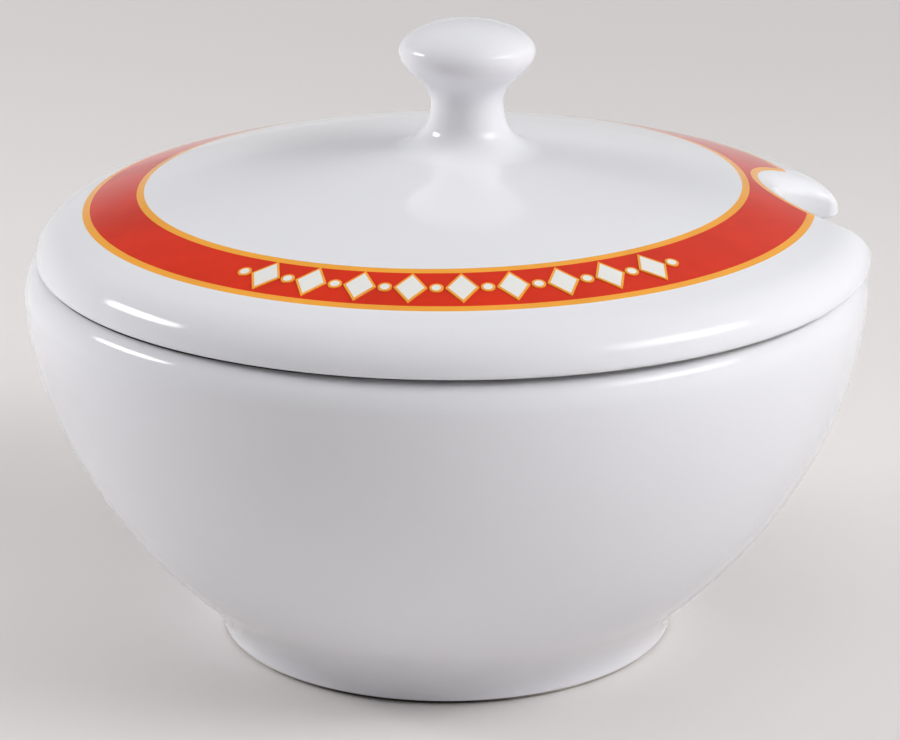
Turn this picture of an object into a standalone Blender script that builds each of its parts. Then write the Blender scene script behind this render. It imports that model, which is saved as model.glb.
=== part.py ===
"""Lidded porcelain bowl for grated cheese: a footed bowl and a domed lid with a knob and a spoon notch.

Metres, +Z up. The origin is the middle of the foot's underside and the notch faces +X.
Lid heights are measured from the top of the bowl's rim.
"""

import math

import bmesh
import bpy
from mathutils import Vector
from mathutils.geometry import interpolate_bezier

# Bowl, outside
BOWL_HEIGHT = 0.0618
BOWL_RADIUS = 0.0661
SHOULDER_WIDTH = 0.0037
SHOULDER_DROP = 0.0047
SIDE_STRAIGHT = 0.0099
SIDE_SWELL_INSET = 0.0052
SIDE_SWELL_HEIGHT = 0.0272
FOOT_RADIUS = 0.0364
FOOT_BLEND = 0.0061
FOOT_BLEND_HEIGHT = 0.0097
FOOT_WIDTH = 0.0072
FOOT_RECESS = 0.0025
FOOT_EDGE = 0.0008

# Bowl, inside. It follows the outside by these wall thicknesses.
RIM_WIDTH = 0.0063
MOUTH_EDGE = 0.0009
MOUTH_DEPTH = 0.0078
INNER_STRAIGHT = 0.0100
SWELL_WALL = 0.0059
SWELL_FLOOR = 0.0027
HOLLOW_INSET = 0.0014
HOLLOW_HEIGHT = 0.0108
FLOOR_INSET = 0.0164
FLOOR_HEIGHT = 0.0075

# Lid. Its edge stops short of the bowl's widest circle.
LID_INSET = 0.0008
LID_WALL = 0.0048
EDGE_RISE = 0.00105
DOME_CURVE_RADIUS = 0.1850
ROLL_REACH = 0.0052
ROLL_DROP = 0.0040
SEAT_GAP = 0.0003
SEAT_EDGE = 0.0006

# The lid sits pushed towards the notch, inside the play that its flange has in the mouth.
LID_SHIFT = 0.0012

# Locating flange under the lid
FLANGE_PLAY = 0.0016
FLANGE_THICKNESS = 0.0042
FLANGE_DEPTH = 0.0060
FLANGE_EDGE = 0.0014
FLANGE_COVER = 0.0015
FLANGE_SLOT_HALF = 0.0115

# Spoon notch: a round bite out of the lid's edge, with rounded corners at the rim
NOTCH_INSET = 0.0016
NOTCH_RADIUS = 0.0118
NOTCH_CORNER = 0.0024
CORNER_CLOSING = 0.15
NOTCH_DROP = 0.0030

# Knob, fired in one piece with the lid and set a little off its middle. Heights are from the dome under it.
KNOB_OFFSET = 0.0021
KNOB_HEIGHT = 0.01990
KNOB_HEAD_RADIUS = 0.0106
KNOB_HEAD_HEIGHT = 0.01506
KNOB_NECK_RADIUS = 0.0056
KNOB_NECK_HEIGHT = 0.00686
KNOB_BASE_RADIUS = 0.0122
KNOB_BASE_SINK = 0.00084
KNOB_ROOT_SINK = 0.00244

# Sizes that follow from the ones above
WIDEST_HEIGHT = BOWL_HEIGHT - SHOULDER_DROP
MOUTH_RADIUS = BOWL_RADIUS - RIM_WIDTH
FOOT_INNER_RADIUS = FOOT_RADIUS - FOOT_WIDTH
LID_RADIUS = BOWL_RADIUS - LID_INSET
DOME_FALL = DOME_CURVE_RADIUS - math.sqrt(DOME_CURVE_RADIUS**2 - LID_RADIUS**2)
DOME_RISE = EDGE_RISE + ROLL_DROP + DOME_FALL
FLANGE_OUTER = MOUTH_RADIUS - FLANGE_PLAY
FLANGE_INNER = FLANGE_OUTER - FLANGE_THICKNESS
NOTCH_CENTRE = LID_RADIUS - NOTCH_INSET

# How finely the curves are cut
BOWL_STEPS = 76
KNOB_STEPS = 40
RIM_POINTS = 72
NOTCH_POINTS = 22
CORNER_POINTS = 8


def clear_scene():
    for obj in list(bpy.data.objects):
        bpy.data.objects.remove(obj, do_unlink=True)


def collection_named(name, hidden=False):
    """A collection in the scene. A hidden one holds shapes that only cut or join others."""
    group = bpy.data.collections.new(name)
    group.hide_render = hidden
    bpy.context.scene.collection.children.link(group)
    return group


def porcelain(name, shade):
    """Glazed white porcelain as a Principled material."""
    material = bpy.data.materials.new(name)
    material.use_nodes = True
    shader = material.node_tree.nodes["Principled BSDF"]
    shader.inputs["Base Color"].default_value = (shade, shade, shade, 1.0)
    shader.inputs["Roughness"].default_value = 0.08
    return material


def add_object(name, mesh, group, helper=False):
    obj = bpy.data.objects.new(name, mesh)
    group.objects.link(obj)
    if helper:
        obj.hide_render = True
        obj.display_type = "WIRE"
    return obj


def bezier(start, leave, arrive, end, count):
    """Points of one cubic in the (radius, height) plane, ends included."""
    points = [Vector((r, 0.0, z)) for r, z in (start, leave, arrive, end)]
    return [(p.x, p.z) for p in interpolate_bezier(*points, count)]


def joined(*runs):
    """Profile runs put end to end, with a point that repeats kept once."""
    points = []
    for run in runs:
        for point in run:
            if not points or math.dist(point, points[-1]) > 1e-6:
                points.append(point)
    return points


def turned(name, profile, steps, group, helper=False):
    """The profile swept round Z by a Screw. A profile off the axis is closed into a ring."""
    mesh = bpy.data.meshes.new(name)
    edges = [(i, i + 1) for i in range(len(profile) - 1)]
    if profile[0][0] > 0:
        edges.append((len(profile) - 1, 0))
    mesh.from_pydata([(r, 0.0, z) for r, z in profile], edges, [])
    obj = add_object(name, mesh, group, helper)
    screw = obj.modifiers.new("turn", "SCREW")
    screw.steps = steps
    screw.render_steps = steps
    screw.use_merge_vertices = True
    screw.merge_threshold = 0.00001
    screw.use_smooth_shade = True
    return obj


def smooth(obj, angle=40):
    obj.data.shade_smooth()
    obj.data.set_sharp_from_angle(angle=math.radians(angle))


def bowl_profile():
    """The bowl's half section, from the middle of its floor out over the rim and down to the foot."""
    rim_inner = MOUTH_RADIUS + MOUTH_EDGE
    mouth_bottom = BOWL_HEIGHT - MOUTH_DEPTH
    shoulder_radius = BOWL_RADIUS - SHOULDER_WIDTH
    swell_radius = BOWL_RADIUS - SIDE_SWELL_INSET
    blend_radius = FOOT_RADIUS + FOOT_BLEND
    hollow_radius = FOOT_RADIUS - HOLLOW_INSET
    floor_radius = FOOT_RADIUS - FLOOR_INSET
    floor = bezier(
        (floor_radius, FLOOR_HEIGHT),
        (floor_radius + 0.006, FLOOR_HEIGHT),
        (hollow_radius - 0.004, HOLLOW_HEIGHT - 0.00274),
        (hollow_radius, HOLLOW_HEIGHT),
        5,
    )
    inner = bezier(
        (hollow_radius, HOLLOW_HEIGHT),
        (swell_radius - SWELL_WALL, SIDE_SWELL_HEIGHT - SWELL_FLOOR),
        (MOUTH_RADIUS, mouth_bottom - INNER_STRAIGHT),
        (MOUTH_RADIUS, mouth_bottom),
        10,
    )
    lip = bezier(
        (MOUTH_RADIUS, BOWL_HEIGHT - MOUTH_EDGE),
        (MOUTH_RADIUS, BOWL_HEIGHT - MOUTH_EDGE * 0.4),
        (rim_inner - MOUTH_EDGE * 0.6, BOWL_HEIGHT),
        (rim_inner, BOWL_HEIGHT),
        4,
    )
    shoulder = bezier(
        (shoulder_radius, BOWL_HEIGHT),
        (shoulder_radius + SHOULDER_WIDTH * 0.6, BOWL_HEIGHT),
        (BOWL_RADIUS, WIDEST_HEIGHT + SHOULDER_DROP * 0.5),
        (BOWL_RADIUS, WIDEST_HEIGHT),
        7,
    )
    side = bezier(
        (BOWL_RADIUS, WIDEST_HEIGHT),
        (BOWL_RADIUS, WIDEST_HEIGHT - SIDE_STRAIGHT),
        (swell_radius, SIDE_SWELL_HEIGHT),
        (blend_radius, FOOT_BLEND_HEIGHT),
        11,
    )
    blend = bezier(
        (blend_radius, FOOT_BLEND_HEIGHT),
        (blend_radius - FOOT_BLEND * 0.35, FOOT_BLEND_HEIGHT * 0.79),
        (FOOT_RADIUS + FOOT_BLEND * 0.16, FOOT_BLEND_HEIGHT * 0.33),
        (FOOT_RADIUS, FOOT_EDGE),
        5,
    )
    foot = [
        (FOOT_RADIUS - FOOT_EDGE * 0.44, FOOT_EDGE * 0.33),
        (FOOT_RADIUS - FOOT_EDGE * 1.2, 0.0),
        (FOOT_INNER_RADIUS + FOOT_EDGE, 0.0),
        (FOOT_INNER_RADIUS, FOOT_EDGE),
        (FOOT_INNER_RADIUS - FOOT_EDGE, FOOT_RECESS),
        (0.0, FOOT_RECESS),
    ]
    return joined([(0.0, FLOOR_HEIGHT)], floor, inner, lip, shoulder, side, blend, foot)


def knob_profile():
    """The knob's half section, from its top down to a root that ends inside the dome."""
    top = KNOB_HEIGHT
    head_side = (KNOB_HEAD_RADIUS, KNOB_HEAD_HEIGHT)
    neck = (KNOB_NECK_RADIUS, KNOB_NECK_HEIGHT)
    head = bezier((0.0, top), (0.0062, top), (KNOB_HEAD_RADIUS, KNOB_HEAD_HEIGHT + 0.0022), head_side, 8)
    under = bezier(
        head_side,
        (KNOB_HEAD_RADIUS, KNOB_HEAD_HEIGHT - 0.0031),
        (KNOB_NECK_RADIUS, KNOB_NECK_HEIGHT + 0.0038),
        neck,
        8,
    )
    flare = bezier(
        neck,
        (KNOB_NECK_RADIUS, KNOB_NECK_HEIGHT - 0.0036),
        (KNOB_BASE_RADIUS - 0.0040, 0.0011 - KNOB_BASE_SINK),
        (KNOB_BASE_RADIUS, -KNOB_BASE_SINK),
        8,
    )
    return joined(head, under, flare, [(KNOB_BASE_RADIUS, -KNOB_ROOT_SINK), (0.0, -KNOB_ROOT_SINK)])


def flange_profile():
    """The flange's closed section, with its root inside the lid."""
    outer = FLANGE_OUTER
    inner = FLANGE_INNER
    bottom = SEAT_GAP - FLANGE_DEPTH
    root = dome(Vector((outer, 0))) - FLANGE_COVER
    return [
        (outer, root),
        (outer, bottom + FLANGE_EDGE),
        (outer - FLANGE_EDGE * 0.3, bottom + FLANGE_EDGE * 0.3),
        (outer - FLANGE_EDGE, bottom),
        (inner + FLANGE_EDGE, bottom),
        (inner + FLANGE_EDGE * 0.3, bottom + FLANGE_EDGE * 0.3),
        (inner, bottom + FLANGE_EDGE),
        (inner, root),
    ]


def lid_arcs(inset):
    """The arcs of the lid's outline moved inwards: centre, radius, first and last angle, and point count."""
    rim = LID_RADIUS - inset
    notch = NOTCH_RADIUS + inset
    corner = NOTCH_CORNER - inset * CORNER_CLOSING
    x = ((rim - corner) ** 2 - (notch + corner) ** 2 + NOTCH_CENTRE**2) / (2 * NOTCH_CENTRE)
    y = math.sqrt((rim - corner) ** 2 - x**2)
    rim_turn = math.atan2(y, x)
    notch_turn = math.atan2(y, x - NOTCH_CENTRE)
    full = 2 * math.pi
    return [
        (Vector((0, 0)), rim, rim_turn, full - rim_turn, RIM_POINTS),
        (Vector((x, -y)), corner, -rim_turn, math.pi - notch_turn, CORNER_POINTS),
        (Vector((NOTCH_CENTRE, 0)), notch, full - notch_turn, notch_turn, NOTCH_POINTS),
        (Vector((x, y)), corner, notch_turn - math.pi, rim_turn, CORNER_POINTS),
    ]


def lid_outline(inset):
    """The lid's outline moved inwards by the inset, as plan points."""
    points = []
    for centre, radius, first, last, count in lid_arcs(inset):
        for i in range(count):
            turn = first + (last - first) * i / count
            points.append(centre + radius * Vector((math.cos(turn), math.sin(turn))))
    return points


def dome(point):
    """Height of the dome's outer face over a plan point."""
    return DOME_RISE - DOME_CURVE_RADIUS + math.sqrt(DOME_CURVE_RADIUS**2 - point.length_squared)


def notch_shares():
    """For each outline point, 0 on the rim and 1 round the notch, changing over each corner's outer part."""
    ramp = [min(i / CORNER_POINTS * 1.5, 1.0) for i in range(CORNER_POINTS + 1)]
    ramp = [t * t * (3 - 2 * t) for t in ramp]
    return [0.0] * RIM_POINTS + ramp[:-1] + [1.0] * NOTCH_POINTS + ramp[:0:-1]


def roll(inset, share):
    """How far the edge has rolled down this far in from the outline, for a share of the notch's drop."""
    turn = 1 - min(inset / ROLL_REACH, 1.0)
    return (ROLL_DROP + (NOTCH_DROP - ROLL_DROP) * share) * (1 - math.sqrt(1 - turn**2))


def underside(point):
    """Height of the lid's lower face: the seat at the edge, and the hollow dome inside the flange."""
    inner = FLANGE_INNER + 0.0004
    outer = FLANGE_OUTER - 0.0006
    blend = min(max((point.length - inner) / (outer - inner), 0.0), 1.0)
    blend = blend * blend * (3 - 2 * blend)
    return (dome(point) - LID_WALL) * (1 - blend) + SEAT_GAP * blend


def lid_rings():
    """The lid's shell as closed rings, from the middle of its underside round the edge to the top."""
    innermost = lid_outline(ROLL_REACH)
    middle = Vector((KNOB_OFFSET, 0))
    rings = []
    for share in (0.10, 0.30, 0.50, 0.70, 0.88, 0.905, 0.93, 0.955):
        ring = [middle.lerp(p, share) for p in innermost]
        rings.append([(p.x, p.y, underside(p)) for p in ring])
    for inset in (ROLL_REACH, 0.0030, 0.0015, SEAT_EDGE):
        rings.append([(p.x, p.y, underside(p)) for p in lid_outline(inset)])
    edge = lid_outline(SEAT_EDGE * 0.2)
    rings.append([(p.x, p.y, underside(p) + SEAT_EDGE * 0.5) for p in edge])
    for share in (0.0, 0.015, 0.06, 0.135, 0.25, 0.4, 0.58, 0.78, 1.0):
        inset = share * ROLL_REACH
        ring = zip(lid_outline(inset), notch_shares())
        rings.append([(p.x, p.y, dome(p) - roll(inset, near_notch)) for p, near_notch in ring])
    for share in (0.84, 0.66, 0.46, 0.28, 0.10):
        ring = [middle.lerp(p, share) for p in innermost]
        rings.append([(p.x, p.y, dome(p)) for p in ring])
    return rings


def lofted(name, rings, group):
    """A closed solid through the rings, with a fan at each end."""
    shape = bmesh.new()
    loops = [[shape.verts.new(p) for p in ring] for ring in rings]
    count = len(loops[0])
    for lower, upper in zip(loops, loops[1:]):
        for i in range(count):
            j = (i + 1) % count
            shape.faces.new((lower[i], lower[j], upper[j], upper[i]))
    shape.faces.new(loops[0])
    shape.faces.new(loops[-1])
    bmesh.ops.recalc_face_normals(shape, faces=shape.faces)
    mesh = bpy.data.meshes.new(name)
    shape.to_mesh(mesh)
    shape.free()
    return add_object(name, mesh, group)


def block(name, low, high, group):
    """A box between two corners, as a cutter."""
    shape = bmesh.new()
    bmesh.ops.create_cube(shape, size=1.0)
    for vert in shape.verts:
        vert.co = [a + (b - a) * (c + 0.5) for a, b, c in zip(low, high, vert.co)]
    mesh = bpy.data.meshes.new(name)
    shape.to_mesh(mesh)
    shape.free()
    return add_object(name, mesh, group, helper=True)


def boolean(obj, other, operation):
    cut = obj.modifiers.new(other.name, "BOOLEAN")
    cut.operation = operation
    cut.solver = "EXACT"
    cut.object = other


def build_bowl(group):
    bowl = turned("bowl", bowl_profile(), BOWL_STEPS, group)
    bowl.data.materials.append(porcelain("bowl porcelain", 0.80))
    return bowl


def build_lid(group, helpers):
    """The lid with its flange and knob. Its origin is on its axis, at the height of the bowl's rim."""
    place = Vector((LID_SHIFT, 0.0, BOWL_HEIGHT))
    lid = lofted("lid", lid_rings(), group)
    smooth(lid)
    lid.data.materials.append(porcelain("lid porcelain", 0.82))
    flange = turned("lid_flange", flange_profile(), BOWL_STEPS, helpers, helper=True)
    slot_low = (FLANGE_INNER * 0.6, -FLANGE_SLOT_HALF, -FLANGE_DEPTH * 2)
    slot_high = (FLANGE_OUTER * 1.2, FLANGE_SLOT_HALF, DOME_RISE)
    slot = block("flange_slot", slot_low, slot_high, helpers)
    boolean(flange, slot, "DIFFERENCE")
    knob = turned("lid_knob", knob_profile(), KNOB_STEPS, helpers, helper=True)
    for piece in (lid, flange, slot):
        piece.location = place
    knob.location = place + Vector((KNOB_OFFSET, 0.0, dome(Vector((KNOB_OFFSET, 0)))))
    boolean(lid, flange, "UNION")
    boolean(lid, knob, "UNION")
    return lid


def main():
    clear_scene()
    parts = collection_named("cheese_pot")
    helpers = collection_named("helpers", hidden=True)
    build_bowl(parts)
    build_lid(parts, helpers)


main()
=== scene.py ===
"""Looks of the lidded cheese pot: glazed porcelain, the printed band, the studio and the camera.

Lengths are in metres in the part's own frame: origin under the foot, +Z up, spoon notch towards +X.
"""

import logging
import math
from collections.abc import Callable, Sequence
from dataclasses import dataclass, field
from enum import Enum, IntEnum
from typing import ClassVar

import bmesh
import bpy
import numpy as np
from mathutils import Matrix, Vector
from mathutils.geometry import interpolate_bezier


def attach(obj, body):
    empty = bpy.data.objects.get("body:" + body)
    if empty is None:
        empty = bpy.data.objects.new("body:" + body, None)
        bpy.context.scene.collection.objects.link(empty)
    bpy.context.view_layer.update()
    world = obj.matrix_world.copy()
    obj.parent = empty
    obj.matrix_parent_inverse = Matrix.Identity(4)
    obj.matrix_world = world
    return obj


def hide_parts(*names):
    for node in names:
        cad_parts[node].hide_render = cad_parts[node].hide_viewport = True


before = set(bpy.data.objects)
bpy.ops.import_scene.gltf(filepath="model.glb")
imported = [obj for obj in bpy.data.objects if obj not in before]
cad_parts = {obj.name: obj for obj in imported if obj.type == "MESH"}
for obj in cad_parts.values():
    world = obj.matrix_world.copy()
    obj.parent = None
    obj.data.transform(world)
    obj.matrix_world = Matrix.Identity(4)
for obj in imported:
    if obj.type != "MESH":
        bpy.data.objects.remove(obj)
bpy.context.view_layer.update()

log = logging.getLogger("cheese_pot")

Profile = list[tuple[float, float]]
Colour = tuple[float, float, float]

# How far behind the photograph's right-hand side the notch stands, seen from above.
NOTCH_TURN = math.radians(4.0)
# Points that are closer than this are one point.
SAME_POINT = 1e-7
# Where a small rounded edge's handles stand, as a share of its size from the corner.
EDGE_HANDLE = 0.45
# The glaze's fine haze and its slow swell, in swells to the metre, the swell's height and its index.
HAZE_SCALE, SWELL_SCALE, SWELL_HEIGHT, GLAZE_IOR = 140.0, 60.0, 0.00001, 1.5


class Body(Enum):
    """The two bodies of the pot."""

    BOWL = "bowl"
    LID = "lid"


class BowlFace(IntEnum):
    """Material slots of the bowl."""

    GLAZE = 0
    FOOT = 1
    SEAT = 2


class LidFace(IntEnum):
    """Material slots of the lid."""

    GLAZE = 0
    LINE = 1
    FIELD = 2
    SEAT = 3


def bezier(points: Sequence[tuple[float, float]], count: int) -> Profile:
    """One cubic in the plane of radius and height.

    Args:
        points: start, its handle, the end's handle and the end.
        count: how many points to give, ends included.

    Returns:
        The points along the cubic.
    """
    knots = [Vector((r, 0.0, z)) for r, z in points]
    return [(p.x, p.z) for p in interpolate_bezier(*knots, count)]


def joined(*runs: Profile) -> Profile:
    """Runs of a profile put end to end.

    Args:
        runs: the runs, in order.

    Returns:
        One profile, with points that repeat kept once.
    """
    points: Profile = []
    for run in runs:
        for point in run:
            if not points or math.dist(point, points[-1]) > SAME_POINT:
                points.append(point)
    return points


def skin(rings: Sequence[np.ndarray], faces_of: Callable[[int], int] = lambda _: 0) -> bmesh.types.BMesh:
    """A closed skin through rings of equal length, with a point at each end.

    Args:
        rings: point arrays of shape (n, 3), each turning the same way. A ring of one point is a pole.
        faces_of: gives the material slot for the strip after each ring.

    Returns:
        The skin as a new BMesh, smooth and facing outwards.
    """
    shape = bmesh.new()
    loops = [[shape.verts.new(p) for p in ring] for ring in rings]
    for index, (low, high) in enumerate(zip(loops, loops[1:])):
        count = max(len(low), len(high))
        for i in range(count):
            j = (i + 1) % count
            corners = [low[i % len(low)], low[j % len(low)], high[j % len(high)], high[i % len(high)]]
            face = shape.faces.new(list(dict.fromkeys(corners)))
            face.material_index = faces_of(index)
            face.smooth = True
    bmesh.ops.recalc_face_normals(shape, faces=shape.faces)
    return shape


def as_object(
    name: str, shape: bmesh.types.BMesh, materials: Sequence[bpy.types.Material]
) -> bpy.types.Object:
    """Turns a BMesh into an object in the scene.

    Args:
        name: the piece's name.
        shape: the mesh, which is freed.
        materials: the piece's materials, in slot order.

    Returns:
        The object, at the origin.
    """
    mesh = bpy.data.meshes.new(name)
    shape.to_mesh(mesh)
    shape.free()
    for material in materials:
        mesh.materials.append(material)
    piece = bpy.data.objects.new(name, mesh)
    bpy.context.scene.collection.objects.link(piece)
    return piece


def reckon(tree: bpy.types.NodeTree, operation: str, *terms: object) -> bpy.types.NodeSocket:
    """One step of arithmetic in a node tree.

    Args:
        tree: the tree.
        operation: the Math node's operation.
        terms: values or sockets.

    Returns:
        The result's socket.
    """
    node = tree.nodes.new("ShaderNodeMath")
    node.operation = operation
    for socket, term in zip(node.inputs, terms):
        if isinstance(term, bpy.types.NodeSocket):
            tree.links.new(term, socket)
        else:
            socket.default_value = term
    return node.outputs[0]


class Nodes:
    """A shorthand for building one material's node tree."""

    def __init__(self, name: str) -> None:
        """Starts a material with a Principled shader.

        Args:
            name: the material's name.
        """
        self.material = bpy.data.materials.new(name)
        self.material.use_nodes = True
        self.tree = self.material.node_tree
        self.shader = self.tree.nodes["Principled BSDF"]
        self.place = self.tree.nodes.new("ShaderNodeTexCoord").outputs["Object"]

    def add(self, kind: str, **values: object) -> bpy.types.Node:
        """Adds a node.

        Args:
            kind: the node's type name.
            values: properties by name, or input values by their name with spaces as underscores.

        Returns:
            The node.
        """
        node = self.tree.nodes.new(kind)
        for key, value in values.items():
            if hasattr(node, key):
                setattr(node, key, value)
            else:
                node.inputs[key.replace("_", " ")].default_value = value
        return node

    def link(self, out: bpy.types.NodeSocket, into: bpy.types.NodeSocket) -> None:
        """Joins two sockets."""
        self.tree.links.new(out, into)

    def noise(self, scale: float, detail: float = 2.0) -> bpy.types.NodeSocket:
        """Noise over the piece.

        Args:
            scale: how many swells there are in a metre.
            detail: how many finer layers it has.

        Returns:
            The noise's value socket.
        """
        node = self.add("ShaderNodeTexNoise", Scale=scale, Detail=detail, Roughness=0.55)
        self.link(self.place, node.inputs["Vector"])
        return node.outputs["Fac"]

    def mapped(
        self, value: bpy.types.NodeSocket, low: float, high: float, ends: tuple[float, float] = (0.3, 0.7)
    ) -> bpy.types.NodeSocket:
        """A value stretched to a new range.

        Args:
            value: the socket to stretch.
            low: the result at the first of the ends.
            high: the result at the second.
            ends: the values that give low and high.

        Returns:
            The stretched value's socket.
        """
        node = self.add("ShaderNodeMapRange")
        for name, number in zip(("From Min", "From Max", "To Min", "To Max"), (*ends, low, high)):
            node.inputs[name].default_value = number
        self.link(value, node.inputs["Value"])
        return node.outputs["Result"]

    def specks(self, scale: float, size: float, share: float) -> bpy.types.NodeSocket:
        """Sparse round specks.

        Args:
            scale: how many cells there are in a metre.
            size: a speck's radius as a share of its cell.
            share: how many of the cells hold one, from 0 to 1.

        Returns:
            A socket that is 1 in a speck and 0 elsewhere.
        """
        cells = self.add("ShaderNodeTexVoronoi", Scale=scale, Randomness=1.0)
        self.link(self.place, cells.inputs["Vector"])
        dot = self.mapped(cells.outputs["Distance"], 1.0, 0.0, (size * 0.6, size))
        parts = self.add("ShaderNodeSeparateColor")
        self.link(cells.outputs["Color"], parts.inputs["Color"])
        chosen = reckon(self.tree, "LESS_THAN", parts.outputs["Red"], share)
        return reckon(self.tree, "MULTIPLY", dot, chosen)

    def mixed(self, share: bpy.types.NodeSocket, first: object, second: object) -> bpy.types.NodeSocket:
        """Two colours mixed by a share.

        Args:
            share: the socket that gives the second colour's share.
            first: a colour, or the socket of one.
            second: likewise.

        Returns:
            The mixed colour's socket.
        """
        node = self.add("ShaderNodeMix", data_type="RGBA")
        self.link(share, node.inputs["Factor"])
        for socket, colour in zip((node.inputs[6], node.inputs[7]), (first, second)):
            if isinstance(colour, bpy.types.NodeSocket):
                self.link(colour, socket)
            else:
                socket.default_value = (*colour, 1.0)
        return node.outputs[2]

    def bump(self, height: bpy.types.NodeSocket, depth: float) -> None:
        """Gives the shader a bump.

        Args:
            height: the height's socket, from 0 to 1.
            depth: the height of 1, in metres.
        """
        node = self.add("ShaderNodeBump", Strength=1.0, Distance=depth)
        self.link(height, node.inputs["Height"])
        self.link(node.outputs["Normal"], self.shader.inputs["Normal"])

    def glazed(self, roughness: tuple[float, float]) -> None:
        """Gives the shader the glaze's gloss, haze and swell.

        Args:
            roughness: the least and the most of the haze.
        """
        self.link(self.mapped(self.noise(HAZE_SCALE), *roughness), self.shader.inputs["Roughness"])
        self.bump(self.noise(SWELL_SCALE), SWELL_HEIGHT)
        self.shader.inputs["IOR"].default_value = GLAZE_IOR


def scaled(colour: Colour, by: float) -> Colour:
    """A colour made lighter or darker."""
    return tuple(min(c * by, 1.0) for c in colour)


@dataclass(frozen=True)
class Glaze:
    """Clear glaze over white porcelain: glossy, faintly uneven, with a few pinholes."""

    name: str
    colour: Colour = (0.797, 0.80, 0.845)
    warm: Colour = (0.782, 0.780, 0.812)
    speck: Colour = (0.42, 0.40, 0.38)
    roughness: tuple[float, float] = (0.055, 0.085)
    cloud: tuple[float, float] = (22.0, 3.0)
    pinholes: tuple[float, float, float] = (95.0, 0.020, 0.06)

    def material(self) -> bpy.types.Material:
        """The glaze's node material.

        Returns:
            The material.
        """
        nodes = Nodes(self.name)
        tint = nodes.mixed(nodes.noise(*self.cloud), self.colour, self.warm)
        tint = nodes.mixed(nodes.specks(*self.pinholes), tint, self.speck)
        nodes.link(tint, nodes.shader.inputs["Base Color"])
        nodes.glazed(self.roughness)
        return nodes.material


@dataclass(frozen=True)
class PrintedColour:
    """A transfer colour under the glaze, slightly uneven in strength, with tiny voids."""

    name: str
    colour: Colour
    void: Colour = (0.78, 0.74, 0.72)
    spread: float = 0.10
    roughness: tuple[float, float] = (0.07, 0.10)
    cloud: tuple[float, float] = (75.0, 4.0)
    voids: tuple[float, float, float] = (210.0, 0.05, 0.03)

    def material(self) -> bpy.types.Material:
        """The printed colour's node material.

        Returns:
            The material.
        """
        nodes = Nodes(self.name)
        dark, light = scaled(self.colour, 1 - self.spread), scaled(self.colour, 1 + self.spread)
        tint = nodes.mixed(nodes.mapped(nodes.noise(*self.cloud), 0.0, 1.0), dark, light)
        tint = nodes.mixed(nodes.specks(*self.voids), tint, self.void)
        nodes.link(tint, nodes.shader.inputs["Base Color"])
        nodes.glazed(self.roughness)
        return nodes.material


@dataclass(frozen=True)
class Biscuit:
    """Bare fired porcelain where the glaze is wiped off, its outer edge darkened by painted shade with some
    soil, most on one side.
    """

    name: str
    colour: Colour = (0.66, 0.63, 0.59)
    dark: Colour = (0.54, 0.50, 0.45)
    # The near-black edge colour is painted shade with some soil, laid on the outer edge and strongest towards
    # the bearing.
    shade_and_soil: Colour = (0.016, 0.012, 0.008)
    shade_soil_radius: tuple[float, float] = (0.03569, 0.03582)
    shade_soil_bearing: float = math.radians(-104.0)
    shade_soil_reach: tuple[float, float] = (0.78, 0.965)
    shade_soil_least: float = 0.10
    roughness: float = 0.8
    mottle: tuple[float, float] = (420.0, 5.0)
    grain: tuple[float, float] = (2600.0, 3.0)
    grain_depth: float = 0.00004

    def material(self) -> bpy.types.Material:
        """The bare porcelain's node material.

        Returns:
            The material.
        """
        nodes = Nodes(self.name)
        tint = nodes.mixed(nodes.mapped(nodes.noise(*self.mottle), 0.0, 1.0), self.colour, self.dark)
        across = nodes.add("ShaderNodeVectorMath", operation="MULTIPLY")
        nodes.link(nodes.place, across.inputs[0])
        across.inputs[1].default_value = (1.0, 1.0, 0.0)
        reach = nodes.add("ShaderNodeVectorMath", operation="LENGTH")
        nodes.link(across.outputs["Vector"], reach.inputs[0])
        edge = nodes.mapped(reach.outputs["Value"], 0.0, 1.0, self.shade_soil_radius)
        outward = nodes.add("ShaderNodeVectorMath", operation="NORMALIZE")
        nodes.link(across.outputs["Vector"], outward.inputs[0])
        facing = nodes.add("ShaderNodeVectorMath", operation="DOT_PRODUCT")
        nodes.link(outward.outputs["Vector"], facing.inputs[0])
        facing.inputs[1].default_value = (math.cos(self.shade_soil_bearing), math.sin(self.shade_soil_bearing), 0.0)
        side = nodes.mapped(facing.outputs["Value"], self.shade_soil_least, 1.0, self.shade_soil_reach)
        # The outer edge's darkening is painted shade with some soil, strongest on the side that faces the
        # bearing.
        shade_soil_share = reckon(nodes.tree, "MULTIPLY", edge, side)
        nodes.link(nodes.mixed(shade_soil_share, tint, self.shade_and_soil), nodes.shader.inputs["Base Color"])
        nodes.shader.inputs["Roughness"].default_value = self.roughness
        nodes.bump(nodes.noise(*self.grain), self.grain_depth)
        return nodes.material


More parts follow.
